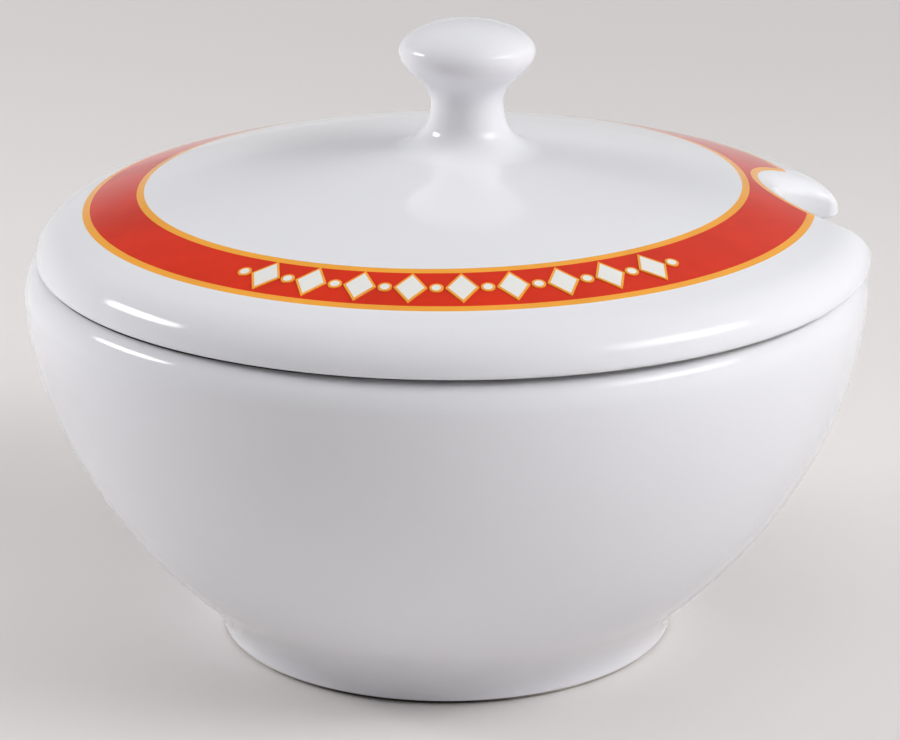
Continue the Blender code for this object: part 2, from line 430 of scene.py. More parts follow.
@dataclass(frozen=True)
class Tabletop:
    """Matt pale card under the pot, with a few grains of dust. Far off it runs into an even pale backdrop."""

    name: str = "pale_card"
    colour: Colour = (0.750, 0.724, 0.715)
    shade: Colour = (0.730, 0.704, 0.695)
    dust: Colour = (0.60, 0.575, 0.565)
    backdrop: Colour = (0.63, 0.61, 0.605)
    backdrop_from: tuple[float, float] = (0.25, 0.60)
    roughness: float = 0.85
    cloud: tuple[float, float] = (9.0, 4.0)
    grains: tuple[float, float, float] = (70.0, 0.022, 0.10)

    def material(self) -> bpy.types.Material:
        """The card's node material.

        Returns:
            The material.
        """
        nodes = Nodes(self.name)
        tint = nodes.mixed(nodes.noise(*self.cloud), self.colour, self.shade)
        tint = nodes.mixed(nodes.specks(*self.grains), tint, self.dust)
        nodes.link(tint, nodes.shader.inputs["Base Color"])
        nodes.shader.inputs["Roughness"].default_value = self.roughness
        reach = nodes.add("ShaderNodeVectorMath", operation="LENGTH")
        nodes.link(nodes.place, reach.inputs[0])
        share = nodes.mapped(reach.outputs["Value"], 0.0, 1.0, self.backdrop_from)
        path = nodes.add("ShaderNodeLightPath").outputs
        seen = reckon(nodes.tree, "MAXIMUM", path["Is Camera Ray"], path["Is Glossy Ray"])
        seen = reckon(nodes.tree, "MAXIMUM", seen, path["Is Transmission Ray"])
        seen = reckon(nodes.tree, "MULTIPLY", seen, share)
        glow = nodes.add("ShaderNodeEmission", Color=(*self.backdrop, 1.0), Strength=1.0)
        both = nodes.add("ShaderNodeMixShader")
        nodes.link(seen, both.inputs[0])
        nodes.link(nodes.shader.outputs[0], both.inputs[1])
        nodes.link(glow.outputs[0], both.inputs[2])
        nodes.link(both.outputs[0], nodes.tree.nodes["Material Output"].inputs["Surface"])
        return nodes.material


@dataclass
class Bowl:
    """The footed bowl, turned round its axis.

    An ease is how far a curve's handle stands from its end. The foot blend's and the recess's handles are
    shares of the way in and of the height, and a roll's are counted in foot edges.
    """

    height: float = 0.0618
    radius: float = 0.0661
    widest_height: float = 0.0571
    shoulder_radius: float = 0.0624
    shoulder_ease: tuple[float, float] = (0.0022, 0.0024)
    side_straight: float = 0.0099
    side_swell: tuple[float, float] = (0.0609, 0.0272)
    foot_blend: tuple[float, float] = (0.0425, 0.0097)
    blend_upper: tuple[float, float] = (0.64, 0.62)
    blend_lower: tuple[float, float] = (0.05, 0.35)
    foot_radius: float = 0.0364
    foot_inner_radius: float = 0.0292
    foot_recess: float = 0.0025
    recess_handle: float = 0.7
    foot_edge: float = 0.0008
    foot_roll: tuple[tuple[float, float], ...] = ((0.18, 0.55), (0.6, 0.0), (1.2, 0.0))
    recess_roll: float = 0.4
    foot_bare: float = 0.85
    mouth_radius: float = 0.0598
    mouth_edge: float = 0.0009
    mouth_depth: float = 0.0078
    inner_straight: float = 0.0100
    inner_swell: tuple[float, float] = (0.0550, 0.0245)
    hollow: tuple[float, float] = (0.0350, 0.0108)
    hollow_ease: tuple[float, float] = (0.004, 0.00274)
    floor_radius: float = 0.0200
    floor_height: float = 0.0075
    floor_ease: float = 0.006
    seat_from: float = 0.9
    seat_spread: float = 0.0012
    steps: int = 288
    piece: bpy.types.Object = field(init=False)

    def inside(self) -> Profile:
        """The profile from the middle of the floor up to the mouth's edge.

        Returns:
            Its points, from beside the axis.
        """
        (r, z), (back, down) = self.hollow, self.hollow_ease
        f, low = self.floor_radius, self.floor_height
        m, high = self.mouth_radius, self.height - self.mouth_depth
        flat = [(f * k / 8, low) for k in range(1, 8)]
        floor = bezier([(f, low), (f + self.floor_ease, low), (r - back, z - down), (r, z)], 14)
        wall = bezier([(r, z), self.inner_swell, (m, high - self.inner_straight), (m, high)], 40)
        return joined(flat, floor, wall)

    def rim(self) -> Profile:
        """The profile over the rim, from the mouth's edge to the widest point.

        Returns:
            Its points, outwards.
        """
        r, e, top = self.mouth_radius, self.mouth_edge, self.height
        h = e * EDGE_HANDLE
        lip = bezier([(r, top - e), (r, top - h), (r + h, top), (r + e, top)], 8)
        s, wide, (out, up) = self.shoulder_radius, self.widest_height, self.shoulder_ease
        shoulder = bezier([(s, top), (s + out, top), (self.radius, wide + up), (self.radius, wide)], 26)
        return joined(lip, shoulder)

    def outside(self) -> Profile:
        """The profile from the widest point down to the foot's underside and its recess.

        Returns:
            Its points, to beside the axis.
        """
        widest, high, (r, z) = self.radius, self.widest_height, self.foot_blend
        side = bezier([(widest, high), (widest, high - self.side_straight), self.side_swell, (r, z)], 52)
        e, f, g = self.foot_edge, self.foot_radius, self.foot_inner_radius
        (inwards, down), (outwards, up) = self.blend_upper, self.blend_lower
        upper, lower = (r + (f - r) * inwards, z * down), (f + (r - f) * outwards, z * up)
        blend = bezier([(r, z), upper, lower, (f, e)], 24)
        outer_edge = bezier([(f, e), *((f - e * far, e * rise) for far, rise in self.foot_roll)], 10)
        h, deep = e * self.recess_roll, self.foot_recess
        inner_edge = bezier([(g + e, 0.0), (g + h, 0.0), (g, h), (g, e)], 6)
        recess = bezier([(g, e), (g, deep * self.recess_handle), (g - e, deep), (g - 2 * e, deep)], 8)
        under = [(g * k / 6, deep) for k in range(5, 0, -1)]
        return joined(side, blend, outer_edge, inner_edge, recess, under)

    def build(self, glaze: Glaze, foot: Biscuit, seat: bpy.types.Material) -> None:
        """Makes the bowl.

        Args:
            glaze: the finish of all but the two bare rings.
            foot: the finish of the ring that it stands on.
            seat: the material of the rim's bare ring, under the lid.
        """
        profile = joined(self.inside(), self.rim(), self.outside())
        turn = np.linspace(0.0, 2 * math.pi, self.steps, endpoint=False)
        across, along = np.cos(turn), np.sin(turn)
        rings = [np.array([[0.0, 0.0, self.floor_height]])]
        rings += [np.stack([r * across, r * along, np.full_like(turn, z)], 1) for r, z in profile]
        rings.append(np.array([[0.0, 0.0, self.foot_recess]]))
        bare_low = self.foot_edge * self.foot_bare
        seat_inner = self.mouth_radius + self.mouth_edge * self.seat_from
        seat_outer = self.shoulder_radius + self.seat_spread

        def slot(index: int) -> int:
            """The slot of the strip after a ring.

            Args:
                index: the ring's place in the list.

            Returns:
                The slot's number.
            """
            ends = [rings[k][0] for k in (index, min(index + 1, len(rings) - 1))]
            reach = [math.hypot(p[0], p[1]) for p in ends]
            heights = [p[2] for p in ends]
            if max(heights) <= bare_low:
                return BowlFace.FOOT
            under_lid = min(reach) > seat_inner and max(reach) < seat_outer
            return BowlFace.SEAT if under_lid and min(heights) > self.widest_height else BowlFace.GLAZE

        self.piece = as_object("bowl_body", skin(rings, slot), [glaze.material(), foot.material(), seat])

    def dress(self) -> None:
        """Puts the bowl in the place of its CAD node."""
        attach(self.piece, Body.BOWL.value)
        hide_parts("bowl")


@dataclass(frozen=True)
class Notch:
    """The round bite out of the lid's edge, in the lid's own plan."""

    centre: float = 0.0637
    radius: float = 0.0118
    corner: float = 0.0024
    corner_closing: float = 0.15
    drop: float = 0.0030


@dataclass(frozen=True)
class Band:
    """The printed band: a ring with an outline, kept clear of the notch, its circles a little off centre."""

    inner_radius: float = 0.0466
    outer_radius: float = 0.0571
    inner_shift: float = -0.0017
    outer_shift: float = -0.0008
    notch_margin: float = 0.0037
    line: float = 0.00115

    def depth(self, x: np.ndarray, y: np.ndarray, notch: Notch) -> np.ndarray:
        """How far inside the band's edge plan points lie.

        Args:
            x: the points' x from the lid's axis.
            y: the points' y.
            notch: the notch that the band goes round.

        Returns:
            The depth, which is negative outside the band.
        """
        outer = self.outer_radius - np.hypot(x - self.outer_shift, y)
        inner = np.hypot(x - self.inner_shift, y) - self.inner_radius
        bite = np.hypot(x - notch.centre, y) - notch.radius - self.notch_margin
        return np.minimum(np.minimum(outer, inner), bite)


@dataclass(frozen=True)
class Knob:
    """The mushroom knob's profile, with heights from the bowl's rim. Eases are as the bowl has them."""

    offset: float = 0.0021
    top: float = 0.03684
    head_radius: float = 0.0106
    head_height: float = 0.0320
    neck_radius: float = 0.0056
    neck_height: float = 0.0238
    base_radius: float = 0.0118
    flare_from: tuple[float, float] = (0.0082, 0.0002)
    flare_ease: tuple[float, float] = (0.0002, 0.0046)
    under_ease: tuple[float, float] = (0.0038, 0.0031)
    head_ease: float = 0.0022
    crown_radius: float = 0.0062

    def profile(self, foot: float) -> tuple[Profile, Profile]:
        """The knob from its foot on the dome to its top.

        Args:
            foot: the dome's height under the knob.

        Returns:
            The flare up to the neck, and the rest up to just beside the top.
        """
        r, z = self.neck_radius, self.neck_height
        (out, rise), (swell, fall), (low, high) = self.flare_from, self.flare_ease, self.under_ease
        flare = bezier([(self.base_radius, foot), (out, foot + rise), (r + swell, z - fall), (r, z)], 26)
        wide, level = self.head_radius, self.head_height
        under = bezier([(r, z), (r, z + low), (wide, level - high), (wide, level)], 24)
        crown = (self.crown_radius, self.top)
        head = bezier([(wide, level), (wide, level + self.head_ease), crown, (0.0, self.top)], 30)
        return flare, joined(under, head[:-1])


@dataclass
class Lid:
    """The domed lid with its rolled edge, notch and knob, and the flange under it."""

    shift: float = 0.0012
    base: float = 0.0618
    radius: float = 0.0653
    wall: float = 0.0048
    dome_rise: float = 0.01695
    dome_curve: float = 0.1850
    roll_reach: float = 0.0052
    roll_drop: float = 0.0040
    seat_gap: float = 0.0003
    seat_edge: float = 0.0007
    flange_outer: float = 0.0582
    flange_thickness: float = 0.0042
    flange_depth: float = 0.0060
    flange_edge: float = 0.0014
    flange_root: float = 0.0060
    flange_slot_half: float = 0.0115
    flange_land: float = 2.2
    flange_steps: int = 200
    flange_crease: float = math.radians(50)
    hollow_ease: tuple[float, float] = (0.0004, 0.0006)
    under_from: tuple[float, float] = (0.06, 0.985)
    under_crowding: float = 0.6
    under_rings: int = 26
    seat_rings: int = 7
    edge_rings: int = 7
    roll_rings: int = 24
    roll_crowding: float = 2.2
    dome_rings: int = 44
    print_above: float = 0.001
    print_margin: float = 0.006
    print_slope: float = 0.1
    print_halvings: int = 18
    rim_points: int = 300
    notch_points: int = 60
    corner_points: int = 22
    corner_ramp: float = 1.5
    notch: Notch = field(default_factory=Notch)
    band: Band = field(default_factory=Band)
    knob: Knob = field(default_factory=Knob)
    piece: bpy.types.Object = field(init=False)
    flange: bpy.types.Object = field(init=False)

    def outline(self, inset: float) -> np.ndarray:
        """The lid's plan outline moved inwards.

        Args:
            inset: how far in.

        Returns:
            Points of shape (n, 2) from the lid's axis.
        """
        n = self.notch
        rim, bite, corner = self.radius - inset, n.radius + inset, n.corner - inset * n.corner_closing
        x = ((rim - corner) ** 2 - (bite + corner) ** 2 + n.centre**2) / (2 * n.centre)
        y = math.sqrt((rim - corner) ** 2 - x**2)
        turn, cut, full = math.atan2(y, x), math.atan2(y, x - n.centre), 2 * math.pi
        arcs = [
            ((0.0, 0.0), rim, turn, full - turn, self.rim_points),
            ((x, -y), corner, -turn, math.pi - cut, self.corner_points),
            ((n.centre, 0.0), bite, full - cut, cut, self.notch_points),
            ((x, y), corner, cut - math.pi, turn, self.corner_points),
        ]
        runs = []
        for centre, size, first, last, count in arcs:
            way = np.linspace(first, last, count, endpoint=False)
            runs.append(np.stack([centre[0] + size * np.cos(way), centre[1] + size * np.sin(way)], 1))
        return np.concatenate(runs)

    def dome(self, plan: np.ndarray) -> np.ndarray:
        """Heights of the dome's outer face over plan points."""
        return self.dome_rise - self.dome_curve + np.sqrt(self.dome_curve**2 - (plan**2).sum(-1))

    def notch_shares(self) -> np.ndarray:
        """For each outline point, 0 on the rim and 1 round the notch, changing in each corner's outer part.

        Returns:
            The shares, in the outline's order.
        """
        ramp = np.clip(np.arange(self.corner_points + 1) / self.corner_points * self.corner_ramp, 0.0, 1.0)
        ramp = ramp * ramp * (3 - 2 * ramp)
        return np.concatenate([np.zeros(self.rim_points), ramp[:-1], np.ones(self.notch_points), ramp[:0:-1]])

    def roll(self, inset: np.ndarray, share: np.ndarray) -> np.ndarray:
        """How far the edge has rolled down.

        Args:
            inset: distances in from the outline.
            share: the share of the notch's drop at each.

        Returns:
            The fall from the dome.
        """
        turn = 1 - np.clip(inset / self.roll_reach, 0.0, 1.0)
        drop = self.roll_drop + (self.notch.drop - self.roll_drop) * share
        return drop * (1 - np.sqrt(1 - turn**2))

    def top(self, plan: np.ndarray) -> np.ndarray:
        """Heights of the finished upper face over plan points, the knob left out.

        Args:
            plan: the points, from the lid's axis.

        Returns:
            The heights, from the bowl's rim.
        """
        to_rim = self.radius - np.hypot(plan[..., 0], plan[..., 1])
        to_notch = np.hypot(plan[..., 0] - self.notch.centre, plan[..., 1]) - self.notch.radius
        return self.dome(plan) - self.roll(np.minimum(to_rim, to_notch), (to_notch < to_rim) * 1.0)

    def underside(self, plan: np.ndarray) -> np.ndarray:
        """Heights of the lower face: the seat at the edge, and the hollow dome inside the flange.

        Args:
            plan: the points, from the lid's axis.

        Returns:
            The heights, from the bowl's rim.
        """
        inner = self.flange_outer - self.flange_thickness + self.hollow_ease[0]
        outer = self.flange_outer - self.hollow_ease[1]
        blend = np.clip((np.hypot(plan[..., 0], plan[..., 1]) - inner) / (outer - inner), 0.0, 1.0)
        blend = blend * blend * (3 - 2 * blend)
        return (self.dome(plan) - self.wall) * (1 - blend) + self.seat_gap * blend

    def lower_rings(self, inner: np.ndarray, middle: np.ndarray) -> list[np.ndarray]:
        """Rings from the middle of the underside out to the foot of the edge.

        Args:
            inner: the outline where the roll begins.
            middle: the knob's place in plan.

        Returns:
            Plan and height rings, in the lid's frame.
        """
        rings = []
        for share in np.linspace(*self.under_from, self.under_rings) ** self.under_crowding:
            plan = middle + (inner - middle) * share
            rings.append(np.column_stack([plan, self.underside(plan)]))
        for inset in np.linspace(self.roll_reach, self.seat_edge, self.seat_rings):
            plan = self.outline(float(inset))
            rings.append(np.column_stack([plan, self.underside(plan)]))
        for turn in np.linspace(0.0, math.pi / 2, self.edge_rings)[1:]:
            plan = self.outline(self.seat_edge * (1 - math.sin(turn)))
            rise = self.seat_edge * (1 - math.cos(turn))
            rings.append(np.column_stack([plan, self.underside(plan) + rise]))
        return rings

    def upper_rings(self, inner: np.ndarray, middle: np.ndarray) -> list[np.ndarray]:
        """Rings from the edge up over the roll, across the dome and up the knob.

        Args:
            inner: the outline where the roll ends.
            middle: the knob's place in plan.

        Returns:
            Plan and height rings, in the lid's frame.
        """
        rings = []
        for share in np.linspace(0.0, 1.0, self.roll_rings) ** self.roll_crowding:
            inset = float(share * self.roll_reach)
            plan = self.outline(inset)
            fall = self.roll(np.array(inset), self.notch_shares())
            rings.append(np.column_stack([plan, self.dome(plan) - fall]))
        reach = np.linalg.norm(inner - middle, axis=1)
        spoke = (inner - middle) / reach[:, None]
        for share in np.linspace(0.0, 1.0, self.dome_rings)[1:]:
            size = reach + (self.knob.base_radius - reach) * share
            plan = middle + spoke * size[:, None]
            rings.append(np.column_stack([plan, self.dome(plan)]))
        foot = float(self.dome(middle))
        flare, rest = self.knob.profile(foot)
        for r, z in flare[1:]:
            plan = middle + spoke * r
            lean = (r - self.knob.neck_radius) / (self.knob.base_radius - self.knob.neck_radius)
            rings.append(np.column_stack([plan, z + (self.dome(plan) - foot) * lean]))
        for r, z in rest[1:]:
            rings.append(np.column_stack([middle + spoke * r, np.full(len(spoke), z)]))
        return rings

    def print_band(self, shape: bmesh.types.BMesh) -> None:
        """Cuts the band's outline and field into the lid's upper face and gives them their slots.

        Args:
            shape: the lid's skin, in the lid's frame.
        """
        above = self.seat_gap + self.seat_edge + self.print_above

        def depth(point: Vector) -> float:
            """The band's depth at a point of the skin."""
            return float(self.band.depth(np.array(point.x), np.array(point.y), self.notch))

        def on_top(face: bmesh.types.BMFace) -> bool:
            """Whether a face is on the upper side, near the band.

            Args:
                face: a face of the skin.

            Returns:
                True for a face that the print may cross.
            """
            centre = face.calc_center_median()
            near = self.band.inner_radius - self.print_margin < math.hypot(centre.x, centre.y)
            return near and face.normal.z > self.print_slope and centre.z > above

        for level in (0.0, self.band.line):
            edges = dict.fromkeys(edge for face in shape.faces if on_top(face) for edge in face.edges)
            cuts = []
            for edge in edges:
                ends = [(vert, depth(vert.co) - level) for vert in edge.verts]
                if ends[0][1] * ends[1][1] >= 0:
                    continue
                (start, low), (stop, _) = ends
                near, far = 0.0, 1.0
                for _ in range(self.print_halvings):
                    half = (near + far) / 2
                    same = (depth(start.co.lerp(stop.co, half)) - level) * low > 0
                    near, far = (half, far) if same else (near, half)
                _, vert = bmesh.utils.edge_split(edge, start, (near + far) / 2)
                cuts.append(vert)
            for vert in cuts:
                vert.co.z = float(self.top(np.array([vert.co.x, vert.co.y])))
            bmesh.ops.connect_verts(shape, verts=cuts)
        for face in shape.faces:
            if not on_top(face):
                continue
            inside = depth(face.calc_center_median())
            if inside > 0:
                face.material_index = LidFace.FIELD if inside > self.band.line else LidFace.LINE

    def build(self, finishes: Sequence[bpy.types.Material]) -> None:
        """Makes the lid with its knob and print.

        Args:
            finishes: the glaze, the outline's colour, the field's colour and the bare seat.
        """
        inner = self.outline(self.roll_reach)
        middle = np.array([self.knob.offset, 0.0])
        hollow = float(self.underside(middle))
        rings = [np.array([[*middle, hollow]])]
        rings += self.lower_rings(inner, middle) + self.upper_rings(inner, middle)
        rings.append(np.array([[*middle, self.knob.top]]))
        seat_start = 1 + self.under_rings
        seat_stop = seat_start + self.seat_rings - 1
        shape = skin(rings, lambda k: LidFace.SEAT if seat_start <= k < seat_stop else LidFace.GLAZE)
        self.print_band(shape)
        bmesh.ops.translate(shape, vec=(self.shift, 0.0, self.base), verts=shape.verts)
        self.piece = as_object("lid_body", shape, finishes)

    def build_flange(self, finish: bpy.types.Material) -> None:
        """Makes the flange: a ring with a gap under the notch and rounded ends.

        Args:
            finish: the glaze.
        """
        outer, inner = self.flange_outer, self.flange_outer - self.flange_thickness
        low, e = self.seat_gap - self.flange_depth, self.flange_edge
        near, far, land = e * EDGE_HANDLE, e * (1 - EDGE_HANDLE), low + self.flange_land * e
        section = joined(
            [(inner, self.flange_root), (inner, land)],
            bezier([(inner, low + e), (inner, low + near), (inner + far, low), (inner + e, low)], 7),
            bezier([(outer - e, low), (outer - near, low), (outer, low + far), (outer, low + e)], 7),
            [(outer, land), (outer, self.flange_root)],
        )
        centre = np.array([(inner + outer) / 2, (low + self.flange_root) / 2])
        half = math.asin(self.flange_slot_half / (inner + outer) * 2)
        turns = np.linspace(half, 2 * math.pi - half, self.flange_steps)
        rings = []
        for turn in turns:
            rings.append(np.array([[r * math.cos(turn), r * math.sin(turn), z] for r, z in section]))
        for end, ring in ((turns[0], rings[0]), (turns[-1], rings[-1])):
            middle = np.array([centre[0] * math.cos(end), centre[0] * math.sin(end), centre[1]])
            rings.insert(0 if ring is rings[0] else len(rings), middle[None, :])
        shape = skin(rings)
        bmesh.ops.translate(shape, vec=(self.shift, 0.0, self.base), verts=shape.verts)
        self.flange = as_object("lid_flange", shape, [finish])
        self.flange.data.set_sharp_from_angle(angle=self.flange_crease)

    def dress(self) -> None:
        """Puts the lid in the place of its CAD node."""
        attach(self.piece, Body.LID.value)
        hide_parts("lid")
        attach(self.flange, Body.LID.value)


class RowTree:
    """A node tree that sets a row of flat motifs along an arc and lays them on the dome."""

    ROW = ("Row Radius", "Row Shift", "Middle Angle", "Span Angle", "Half Height", "Half Width")
    DOME = ("Axis X", "Dome Top", "Dome Curve", "Lift", "Thickness")
    FINENESS = 2
    CREASE = math.radians(40)

    def __init__(self) -> None:
        """Builds the tree."""
        self.tree = bpy.data.node_groups.new("motif_row", "GeometryNodeTree")
        face = self.tree.interface
        face.new_socket("Geometry", in_out="INPUT", socket_type="NodeSocketGeometry")
        for name in ("Count", "Corners"):
            face.new_socket(name, in_out="INPUT", socket_type="NodeSocketInt")
        for name in self.ROW + self.DOME:
            face.new_socket(name, in_out="INPUT", socket_type="NodeSocketFloat")
        face.new_socket("Material", in_out="INPUT", socket_type="NodeSocketMaterial")
        face.new_socket("Geometry", in_out="OUTPUT", socket_type="NodeSocketGeometry")
        self.given = self.tree.nodes.new("NodeGroupInput").outputs
        self.lay_out()

    def node(self, kind: str, **inputs: object) -> bpy.types.Node:
        """Adds a node.

        Args:
            kind: the node's type name.
            inputs: values or sockets by input name, with spaces as underscores.

        Returns:
            The node.
        """
        node = self.tree.nodes.new(kind)
        for key, value in inputs.items():
            socket = node.inputs[key.replace("_", " ")]
            if isinstance(value, bpy.types.NodeSocket):
                self.tree.links.new(value, socket)
            else:
                socket.default_value = value
        return node

    def calc(self, operation: str, *terms: object) -> bpy.types.NodeSocket:
        """One step of arithmetic in this tree, as reckon takes it."""
        return reckon(self.tree, operation, *terms)

    def lay_out(self) -> None:
        """Adds the nodes: points on the arc, a motif on each, laid on the dome and made a thin plate."""
        given, node, calc = self.given, self.node, self.calc
        place = node("GeometryNodeInputIndex").outputs[0]
        step = calc("SUBTRACT", calc("DIVIDE", place, calc("SUBTRACT", given["Count"], 1.0)), 0.5)
        turn = calc("ADD", given["Middle Angle"], calc("MULTIPLY", step, given["Span Angle"]))
        x = calc("ADD", given["Row Shift"], calc("MULTIPLY", given["Row Radius"], calc("COSINE", turn)))
        y = calc("MULTIPLY", given["Row Radius"], calc("SINE", turn))
        spot = node("ShaderNodeCombineXYZ", X=x, Y=y).outputs[0]
        points = node("GeometryNodePoints", Count=given["Count"], Position=spot).outputs[0]
        disc = node("GeometryNodeMeshCircle", Vertices=given["Corners"], Radius=1.0)
        disc.fill_type = "TRIANGLE_FAN"
        size = node("ShaderNodeCombineXYZ", X=given["Half Height"], Y=given["Half Width"], Z=1.0).outputs[0]
        motif = node("GeometryNodeTransform", Geometry=disc.outputs["Mesh"], Scale=size).outputs[0]
        fine = node("GeometryNodeSubdivideMesh", Mesh=motif, Level=self.FINENESS).outputs[0]
        facing = node("FunctionNodeAxisAngleToRotation", Axis=(0.0, 0.0, 1.0), Angle=turn).outputs[0]
        row = node("GeometryNodeInstanceOnPoints", Points=points, Instance=fine, Rotation=facing).outputs[0]
        flat = node("GeometryNodeRealizeInstances", Geometry=row).outputs[0]
        sheet = node("GeometryNodeSetPosition", Geometry=flat, Position=self.on_dome()).outputs[0]
        plate = node("GeometryNodeMergeByDistance", Geometry=self.thickened(sheet), Distance=SAME_POINT)
        solid = node("GeometryNodeRealizeInstances", Geometry=plate.outputs[0]).outputs[0]
        dressed = node("GeometryNodeSetMaterial", Geometry=solid, Material=given["Material"])
        out = self.tree.nodes.new("NodeGroupOutput")
        self.tree.links.new(dressed.outputs[0], out.inputs[0])

    def on_dome(self) -> bpy.types.NodeSocket:
        """Each point's place on the lid's dome, straight above its place in plan.

        Returns:
            The place's socket.
        """
        given, calc = self.given, self.calc
        place = self.node("GeometryNodeInputPosition").outputs[0]
        x, y, _ = self.node("ShaderNodeSeparateXYZ", Vector=place).outputs
        reach = calc("ADD", calc("POWER", x, 2.0), calc("POWER", y, 2.0))
        fall = calc("SQRT", calc("SUBTRACT", calc("POWER", given["Dome Curve"], 2.0), reach))
        crown = calc("ADD", calc("SUBTRACT", given["Dome Top"], given["Dome Curve"]), given["Lift"])
        height = calc("ADD", crown, fall)
        return self.node("ShaderNodeCombineXYZ", X=calc("ADD", x, given["Axis X"]), Y=y, Z=height).outputs[0]

    def thickened(self, sheet: bpy.types.NodeSocket) -> bpy.types.NodeSocket:
        """A sheet made a plate.

        A filled circle looks down, so it is turned over for the upper side and sunk as it is for the lower.

        Args:
            sheet: the sheet's geometry.

        Returns:
            The plate's two sides and its edge, not yet merged.
        """
        sunk = self.node("GeometryNodeExtrudeMesh", Mesh=sheet, Offset=(0.0, 0.0, -1.0), Individual=False)
        self.tree.links.new(self.given["Thickness"], sunk.inputs["Offset Scale"])
        both = self.node("GeometryNodeJoinGeometry")
        self.tree.links.new(self.node("GeometryNodeFlipFaces", Mesh=sheet).outputs[0], both.inputs[0])
        self.tree.links.new(sunk.outputs["Mesh"], both.inputs[0])
        return both.outputs[0]

    def piece(self, name: str, values: dict[str, object]) -> bpy.types.Object:
        """A piece made by the tree.

        Args:
            name: the piece's name.
            values: the tree's inputs by name.

        Returns:
            The piece as a plain mesh object.
        """
        maker = bpy.data.objects.new(name + "_maker", bpy.data.meshes.new(name + "_maker"))
        bpy.context.scene.collection.objects.link(maker)
        modifier = maker.modifiers.new("row", "NODES")
        modifier.node_group = self.tree
        for item in self.tree.interface.items_tree:
            if item.item_type == "SOCKET" and item.in_out == "INPUT" and item.name in values:
                modifier[item.identifier] = values[item.name]
        graph = bpy.context.evaluated_depsgraph_get()
        mesh = bpy.data.meshes.new_from_object(maker.evaluated_get(graph))
        mesh.name = name
        bpy.data.objects.remove(maker, do_unlink=True)
        mesh.shade_smooth()
        mesh.set_sharp_from_angle(angle=self.CREASE)
        made = bpy.data.objects.new(name, mesh)
        bpy.context.scene.collection.objects.link(made)
        return made


@dataclass
class Ornament:
    """A plain row of lozenges and beads on the band's front, each with an outline."""

    middle: float = math.radians(-91.5)
    radius: float = 0.0517
    shift: float = -0.0012
    lozenges: int = 9
    lozenge_span: float = math.radians(65.0)
    lozenge_half: tuple[float, float] = (0.0030, 0.0020)
    lozenge_corners: int = 4
    bead_span: float = math.radians(73.1)
    bead_half: float = 0.00068
    bead_corners: int = 24
    outline: float = 0.00034
    lift: float = 0.00002
    thickness: float = 0.00015
    pieces: list[bpy.types.Object] = field(default_factory=list)

    def build(self, lid: Lid, line: bpy.types.Material, fill: bpy.types.Material) -> None:
        """Makes the row.

        Args:
            lid: the lid that it lies on.
            line: the outline's material.
            fill: the motifs' material.
        """
        tree = RowTree()
        tall, wide = self.lozenge_half
        slope = math.hypot(1 / tall, 1 / wide) * self.outline
        kinds = {
            "lozenge": (self.lozenges, self.lozenge_corners, self.lozenge_span, self.lozenge_half),
            "bead": (self.lozenges + 1, self.bead_corners, self.bead_span, (self.bead_half, self.bead_half)),
        }
        growth = {"lozenge": (tall * slope, wide * slope), "bead": (self.outline, self.outline)}
        for name, (count, corners, span, (high, broad)) in kinds.items():
            grow = growth[name]
            for layer, (suffix, material) in enumerate((("s", fill), ("_lines", line))):
                values = {
                    "Count": count,
                    "Corners": corners,
                    "Row Radius": self.radius,
                    "Row Shift": self.shift,
                    "Middle Angle": self.middle,
                    "Span Angle": span,
                    "Half Height": high + layer * grow[0],
                    "Half Width": broad + layer * grow[1],
                    "Axis X": lid.shift,
                    "Dome Top": lid.base + lid.dome_rise,
                    "Dome Curve": lid.dome_curve,
                    "Lift": self.lift * (2 - layer),
                    "Thickness": self.thickness,
                    "Material": material,
                }
                self.pieces.append(tree.piece(f"band_{name}{suffix}", values))

    def dress(self) -> None:
        """Fixes the row to the lid."""
        for piece in self.pieces:
            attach(piece, Body.LID.value)


@dataclass(frozen=True)
class Lamp:
    """A soft lamp aimed at the pot. Its bearing is counted from the photograph's right, towards the back."""

    # u(1 - u)v(1 - v) has a mean of 1/36 over the lamp's face.
    FADE_GAIN: ClassVar[float] = 36.0

    name: str
    bearing: float
    elevation: float
    distance: float
    size: tuple[float, float]
    power: float
    tilt: float = 0.0
    mirrored: bool = True

    def fade(self, tree: bpy.types.NodeTree) -> None:
        """Makes the lamp's face brightest in its middle, fading to its edges, with its power kept.

        Args:
            tree: the lamp's node tree.
        """
        place = tree.nodes.new("ShaderNodeSeparateXYZ")
        tree.links.new(tree.nodes.new("ShaderNodeNewGeometry").outputs["Parametric"], place.inputs["Vector"])
        u, v, _ = place.outputs
        u, v = (reckon(tree, "MULTIPLY", way, reckon(tree, "SUBTRACT", 1.0, way)) for way in (u, v))
        strength = reckon(tree, "MULTIPLY", reckon(tree, "MULTIPLY", u, v), self.FADE_GAIN)
        tree.links.new(strength, tree.nodes["Emission"].inputs["Strength"])

    def place(self, aim: Vector) -> None:
        """Adds the lamp.

        Args:
            aim: the point that it faces.
        """
        data = bpy.data.lights.new(self.name, "AREA")
        data.shape = "RECTANGLE"
        data.size, data.size_y = self.size
        data.energy = self.power
        data.use_nodes = True
        self.fade(data.node_tree)
        turn, rise = math.radians(self.bearing) - NOTCH_TURN, math.radians(self.elevation)
        way = Vector((math.cos(turn) * math.cos(rise), math.sin(turn) * math.cos(rise), math.sin(rise)))
        lamp = bpy.data.objects.new(self.name, data)
        lamp.location = aim + way * self.distance
        tilt = Matrix.Rotation(math.radians(self.tilt), 4, "Z")
        lamp.rotation_euler = (way.to_track_quat("Z", "Y").to_matrix().to_4x4() @ tilt).to_euler()
        lamp.visible_glossy = self.mirrored
        bpy.context.scene.collection.objects.link(lamp)


